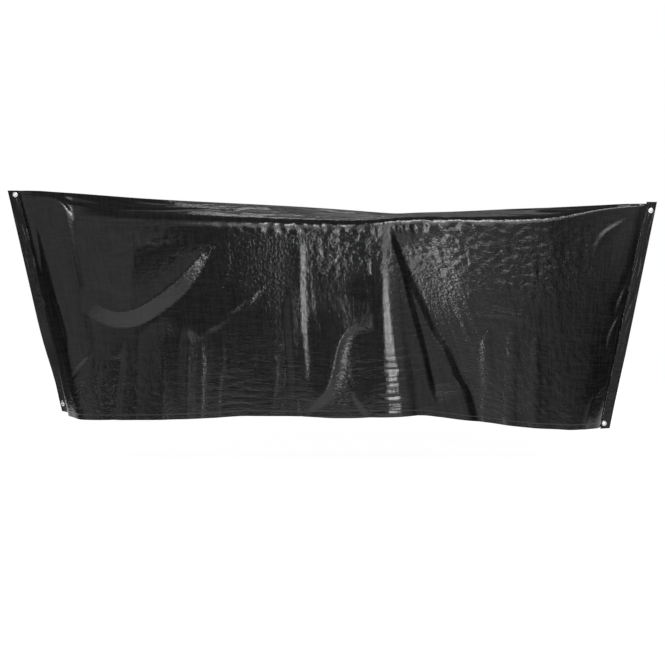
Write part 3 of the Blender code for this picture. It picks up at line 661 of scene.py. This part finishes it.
# ---------------------------------------------------------------- bands and eyelets
def make_band(band, eyelets, material):
    """A band of welded double cloth: rippled along its length, holed under its eyelets."""
    length = (inner_edge(band, 1.0) - inner_edge(band, 0.0)).length
    rows, steps = round(length / BAND_GRID), round(BAND_WIDTH / BAND_GRID)
    across = np.linspace(0.0, BAND_WIDTH, steps + 1)
    down = np.linspace(0.0, 1.0, rows + 1)
    along = down[:, None] * length + across[None, :] * 0.0
    side = across[None, :] + along * 0.0
    slanted = side / BAND_RIPPLE.down + along / BAND_RIPPLE_SLANT
    ripple = creased(noise(along / BAND_RIPPLE.along, slanted, band.seed), BAND_RIPPLE.sharp)
    calm = np.ones(along.shape)
    for centre_across, centre_along in eyelets:
        away = np.hypot(side - centre_across, along - centre_along)
        calm = np.minimum(calm, smoothstep((away - EYELET_RADIUS) / EYELET_CALM))
    weld = np.exp(-((side - WELD_INSET) / WELD_HALF_WIDTH) ** 2)
    edge = smoothstep(side / BAND_STILL_EDGE)
    relief = BAND_RIPPLE.height * ripple + lumps(BAND_PUCKER, along, side, band.seed + 1)
    relief = relief * calm * edge - WELD_DEPTH * weld * calm
    points = np.zeros((rows + 1, steps + 1, 3))
    for row, fraction in enumerate(down):
        lengthwise, level, across_free, normal = band_axes(band, fraction)
        start = inner_edge(band, fraction)
        slant = -level.z / lengthwise.z
        for step, width in enumerate(across):
            flat = min(width, BAND_FLAT)
            points[row, step] = (start + lengthwise * (width * slant) + level * flat
                                 + across_free * (width - flat) + normal * relief[row, step])
    faces = [face for face in grid_faces(rows + 1, steps + 1)
             if not over_hole(face, side.ravel(), along.ravel(), eyelets)]
    piece = mesh_piece(f"band_{band.name}_cloth", points.reshape(-1, 3), faces, material)
    store_cloth(piece, along, side, side, points[..., 0], points[..., 2])
    shell = piece.modifiers.new("thickness", "SOLIDIFY")
    shell.thickness = BAND_THICKNESS
    shell.offset = 0.0
    return piece


def over_hole(face, side, along, eyelets):
    """Whether the middle of a band's face lies in one of its holes."""
    middle_side = sum(side[corner] for corner in face) / len(face)
    middle_along = sum(along[corner] for corner in face) / len(face)
    return any((middle_side - across) ** 2 + (middle_along - down) ** 2 < BAND_HOLE ** 2
               for across, down in eyelets)


def eyelet_place(name):
    """An eyelet's centre, from its solid."""
    low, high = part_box("eyelet_" + name)
    return (low + high) / 2


def place_on_band(band, centre):
    """How far across and along its band a point lies."""
    best = None
    length = (inner_edge(band, 1.0) - inner_edge(band, 0.0)).length
    for step in range(BAND_SEARCH_STEPS + 1):
        fraction = step / BAND_SEARCH_STEPS
        lengthwise, level, across_free, normal = band_axes(band, fraction)
        offset = centre - inner_edge(band, fraction)
        if best is None or abs(offset.dot(lengthwise)) < best[0]:
            across = BAND_FLAT + (offset - level * BAND_FLAT).dot(across_free)
            best = (abs(offset.dot(lengthwise)), across, fraction * length, normal)
    return best[1:]


def eyelet_profile():
    """Radius and height round an eyelet's section: a barrel with a rolled rim at each end."""
    rim = [(EYELET_HOLE_RADIUS, 0.0018), (0.00625, 0.00235), (0.0068, 0.00272),
           (0.0076, 0.00285), (0.0086, 0.00276), (0.0096, 0.00258), (0.0106, 0.00240),
           (0.0114, 0.00215), (0.0119, 0.00185), (EYELET_RADIUS, 0.00150),
           (0.0116, 0.00125), (0.0072, 0.00120)]
    return rim + [(radius, -height) for radius, height in rim[::-1]]


def make_eyelet(name, centre, normal, material):
    """A pressed eyelet, turned about the band's normal."""
    profile_points = eyelet_profile()
    turn = normal.to_track_quat("Z", "Y").to_matrix().to_4x4()
    place = Matrix.Translation(centre) @ turn
    points = []
    for step in range(EYELET_SEGMENTS):
        angle = 2 * pi * step / EYELET_SEGMENTS
        points += [place @ Vector((radius * cos(angle), radius * sin(angle), height))
                   for radius, height in profile_points]
    count = len(profile_points)
    faces = []
    for step in range(EYELET_SEGMENTS):
        here, following = step * count, (step + 1) % EYELET_SEGMENTS * count
        for index in range(count):
            after = (index + 1) % count
            faces.append((here + index, here + after, following + after, following + index))
    return mesh_piece("eyelet_" + name + "_ring", points, faces, material)


# ---------------------------------------------------------------- materials
def add_node(tree, kind, **settings):
    """A new node with some of its settings or inputs set."""
    node = tree.nodes.new(kind)
    for name, value in settings.items():
        if name in node.inputs:
            node.inputs[name].default_value = value
        else:
            setattr(node, name, value)
    return node


def calculate(tree, operation, first, second):
    """The output of a Math node on two sockets or numbers."""
    node = add_node(tree, "ShaderNodeMath", operation=operation)
    for socket, value in zip(node.inputs, (first, second)):
        if isinstance(value, bpy.types.NodeSocket):
            tree.links.new(value, socket)
        else:
            socket.default_value = value
    return node.outputs[0]


def ramp(tree, value, start, end, low, high):
    """A smooth change from low to high as the value goes from start to end."""
    node = add_node(tree, "ShaderNodeMapRange", interpolation_type="SMOOTHSTEP")
    for name, setting in zip(("From Min", "From Max", "To Min", "To Max"),
                             (start, end, low, high)):
        node.inputs[name].default_value = setting
    tree.links.new(value, node.inputs["Value"])
    return node.outputs[0]


def stretched_noise(tree, places, along, down, seed):
    """Noise with lumps of a size along and down the cloth, in metres."""
    mapping = add_node(tree, "ShaderNodeMapping", Scale=(1 / along, 1 / down, 1.0),
                       Location=[seed * share for share in SEED_SHIFT])
    tree.links.new(places, mapping.inputs["Vector"])
    pattern = add_node(tree, "ShaderNodeTexNoise", Scale=1.0, Detail=2.0)
    tree.links.new(mapping.outputs[0], pattern.inputs["Vector"])
    return pattern.outputs["Fac"]


def weave(tree, places, pitch):
    """The crossing tapes of the woven sheet."""
    waves = []
    for direction in ("X", "Y"):
        wave = add_node(tree, "ShaderNodeTexWave", bands_direction=direction,
                        Scale=WAVE_TEXTURE_SCALE / pitch)
        tree.links.new(places, wave.inputs["Vector"])
        waves.append(wave.outputs["Fac"])
    return calculate(tree, "MULTIPLY", *waves)


def new_material(name):
    """A new material, its node tree and its shader."""
    material = bpy.data.materials.new(name)
    material.use_nodes = True
    return material, material.node_tree, material.node_tree.nodes["Principled BSDF"]


def set_tone(tree, shader, factor, dark, light):
    """Colour from dark to light as the factor goes from 0 to 1."""
    tone = add_node(tree, "ShaderNodeMix", data_type="RGBA")
    tone.inputs["A"].default_value = (*dark, 1.0)
    tone.inputs["B"].default_value = (*light, 1.0)
    tree.links.new(factor, tone.inputs["Factor"])
    tree.links.new(tone.outputs["Result"], shader.inputs["Base Color"])


def set_roughness(tree, shader, factor, least, most):
    """Roughness from least to most as the factor goes from 0 to 1."""
    gloss = add_node(tree, "ShaderNodeMapRange")
    gloss.inputs["To Min"].default_value = least
    gloss.inputs["To Max"].default_value = most
    tree.links.new(factor, gloss.inputs["Value"])
    tree.links.new(gloss.outputs[0], shader.inputs["Roughness"])


def sheet_material(look):
    """Glossy black woven sheet, with its grain, weave, streaks, ripples, crumples and hem."""
    material, tree, shader = new_material(look.name)
    places = add_node(tree, "ShaderNodeAttribute", attribute_name="cloth").outputs["Vector"]
    grains = [stretched_noise(tree, places, *size, seed=4.4) for size in GRAIN_SIZES]
    both = calculate(tree, "ADD", *grains)
    set_tone(tree, shader, ramp(tree, both, *GRAIN_RANGE, 0.0, 1.0), look.dark, look.light)
    set_roughness(tree, shader, stretched_noise(tree, places, *GLOSS_SIZE, seed=7.7),
                  *look.roughness)
    shader.inputs["Specular IOR Level"].default_value = look.shine
    amounts = add_node(tree, "ShaderNodeSeparateXYZ")
    texture = add_node(tree, "ShaderNodeAttribute", attribute_name="texture")
    tree.links.new(texture.outputs["Vector"], amounts.inputs[0])
    parts = (
        (stretched_noise(tree, places, *STREAK_SIZE, seed=1.3), look.streak, "X"),
        (stretched_noise(tree, places, *RIPPLE_SIZE, seed=5.9), look.ripple, "Y"),
        (stretched_noise(tree, places, *CRUMPLE_SIZE, seed=2.2), look.crumple, "Z"),
    )
    total = calculate(tree, "MULTIPLY", weave(tree, places, WEAVE_PITCH), look.weave)
    total = calculate(tree, "ADD", calculate(tree, "MULTIPLY", both, GRAIN_HEIGHT), total)
    for pattern, height, channel in parts:
        strength = calculate(tree, "MULTIPLY", amounts.outputs[channel], height)
        total = calculate(tree, "ADD", calculate(tree, "MULTIPLY", pattern, strength), total)
    flat_place = add_node(tree, "ShaderNodeSeparateXYZ")
    tree.links.new(places, flat_place.inputs[0])
    hem = ramp(tree, flat_place.outputs["Z"], *HEM, look.hem, 0.0)
    total = calculate(tree, "ADD", hem, total)
    bump = add_node(tree, "ShaderNodeBump", Strength=1.0, Distance=1.0)
    tree.links.new(total, bump.inputs["Height"])
    tree.links.new(bump.outputs[0], shader.inputs["Normal"])
    return material


def eyelet_material():
    """Satin pressed aluminium, with a fine grain in its tone and gloss."""
    material, tree, shader = new_material("satin_aluminium")
    shader.inputs["Metallic"].default_value = 1.0
    places = add_node(tree, "ShaderNodeTexCoord").outputs["Object"]
    fine = add_node(tree, "ShaderNodeTexNoise", Scale=ALUMINIUM_GRAIN, Detail=3.0)
    tree.links.new(places, fine.inputs["Vector"])
    set_tone(tree, shader, fine.outputs["Fac"], *ALUMINIUM_TONES)
    set_roughness(tree, shader, fine.outputs["Fac"], *ALUMINIUM_ROUGHNESS)
    return material


def floor_material():
    """White studio floor. Most of its white is its own glow, so its shadows stay faint."""
    material, tree, shader = new_material("white_floor")
    shader.inputs["Base Color"].default_value = (*FLOOR_TONE, 1.0)
    shader.inputs["Roughness"].default_value = FLOOR_ROUGHNESS
    shader.inputs["Specular IOR Level"].default_value = 0.0
    shader.inputs["Emission Color"].default_value = (1.0, 1.0, 1.0, 1.0)
    shader.inputs["Emission Strength"].default_value = FLOOR_GLOW
    return material


# ---------------------------------------------------------------- the studio
def aim(thing, place, target):
    """Put a light or camera in place, looking at its target."""
    thing.location = place
    direction = Vector(target) - Vector(place)
    thing.rotation_euler = direction.to_track_quat("-Z", "Y").to_euler()


def make_lights():
    """The lamps: flat panels that the camera doesn't see."""
    for panel in PANELS:
        light = bpy.data.lights.new(panel.name, "AREA")
        light.shape = "RECTANGLE"
        light.size, light.size_y = panel.width, panel.height
        light.energy = panel.radiance * pi * panel.width * panel.height
        thing = bpy.data.objects.new(panel.name, light)
        thing.visible_camera = False
        bpy.context.scene.collection.objects.link(thing)
        aim(thing, panel.place, panel.target)


def make_world():
    """White behind the object. The studio around it is grey, with darker and brighter parts."""
    world = bpy.data.worlds.new("studio")
    bpy.context.scene.world = world
    world.use_nodes = True
    tree = world.node_tree
    tree.nodes.clear()
    place = add_node(tree, "ShaderNodeTexCoord").outputs["Generated"]
    parts = add_node(tree, "ShaderNodeSeparateXYZ")
    tree.links.new(place, parts.inputs[0])
    towards_camera = calculate(tree, "MULTIPLY", parts.outputs["Y"], -1.0)
    azimuth = calculate(tree, "ARCTAN2", parts.outputs["X"], towards_camera)
    radiance = ramp(tree, parts.outputs["Z"], *ROOM_RISE, *ROOM)
    clutter = add_node(tree, "ShaderNodeTexNoise", Scale=CLUTTER_SCALE, Detail=2.0)
    tree.links.new(place, clutter.inputs["Vector"])
    radiance = calculate(tree, "MULTIPLY", radiance,
                         ramp(tree, clutter.outputs["Fac"], *CLUTTER_RANGE, *CLUTTER_SHARE))
    for patch in ROOM_PATCHES:
        across = calculate(tree, "SUBTRACT", azimuth, patch.azimuth)
        across = calculate(tree, "DIVIDE", across, patch.half_width)
        up = calculate(tree, "SUBTRACT", parts.outputs["Z"], patch.rise)
        up = calculate(tree, "DIVIDE", up, patch.half_rise)
        squares = calculate(tree, "ADD", calculate(tree, "MULTIPLY", across, across),
                            calculate(tree, "MULTIPLY", up, up))
        share = ramp(tree, squares, 1 - patch.soft, 1 + patch.soft, patch.share, 1.0)
        radiance = calculate(tree, "MULTIPLY", radiance, share)
    room = add_node(tree, "ShaderNodeBackground")
    tree.links.new(radiance, room.inputs["Strength"])
    white = add_node(tree, "ShaderNodeBackground", Color=(1, 1, 1, 1), Strength=1.0)
    seen = add_node(tree, "ShaderNodeLightPath").outputs["Is Camera Ray"]
    chosen = add_node(tree, "ShaderNodeMixShader")
    tree.links.new(seen, chosen.inputs[0])
    tree.links.new(room.outputs[0], chosen.inputs[1])
    tree.links.new(white.outputs[0], chosen.inputs[2])
    output = add_node(tree, "ShaderNodeOutputWorld")
    tree.links.new(chosen.outputs[0], output.inputs["Surface"])


def make_floor():
    """A white floor under the cover."""
    floor = mesh_piece("floor", [(x, y, FLOOR_LEVEL) for x, y in FLOOR_CORNERS],
                       [range(len(FLOOR_CORNERS))], floor_material())


def make_camera():
    """The photograph's camera."""
    camera = bpy.data.cameras.new("camera")
    camera.lens = CAMERA_LENS
    camera.sensor_width = CAMERA_SENSOR
    camera.sensor_fit = "HORIZONTAL"
    thing = bpy.data.objects.new("camera", camera)
    bpy.context.scene.collection.objects.link(thing)
    aim(thing, CAMERA_PLACE, CAMERA_TARGET)
    bpy.context.scene.camera = thing


# ---------------------------------------------------------------- the scene
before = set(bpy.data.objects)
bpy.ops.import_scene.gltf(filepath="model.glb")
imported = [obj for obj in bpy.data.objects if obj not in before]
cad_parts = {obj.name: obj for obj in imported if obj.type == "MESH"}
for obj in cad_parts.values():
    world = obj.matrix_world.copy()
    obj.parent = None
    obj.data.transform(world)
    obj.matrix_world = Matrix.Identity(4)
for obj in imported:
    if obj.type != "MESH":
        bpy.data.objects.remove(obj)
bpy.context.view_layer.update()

tarpaulin = sheet_material(TARPAULIN)
band_cloth = sheet_material(END_BAND)
aluminium = eyelet_material()
cloth = make_cloth(tarpaulin)
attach(cloth, "root")
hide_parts("cover_sheet")
for band in BANDS:
    spots = []
    for name in EYELETS[band.name]:
        centre = eyelet_place(name)
        across, along, normal = place_on_band(band, centre)
        spots.append((across, along))
        ring = make_eyelet(name, centre, normal, aluminium)
        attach(ring, "root")
        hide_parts("eyelet_" + name)
    strip = make_band(band, spots, band_cloth)
    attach(strip, "root")
    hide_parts("end_band_" + band.name)

make_lights()
make_world()
make_floor()
make_camera()
bpy.context.scene.view_settings.view_transform = "Standard"
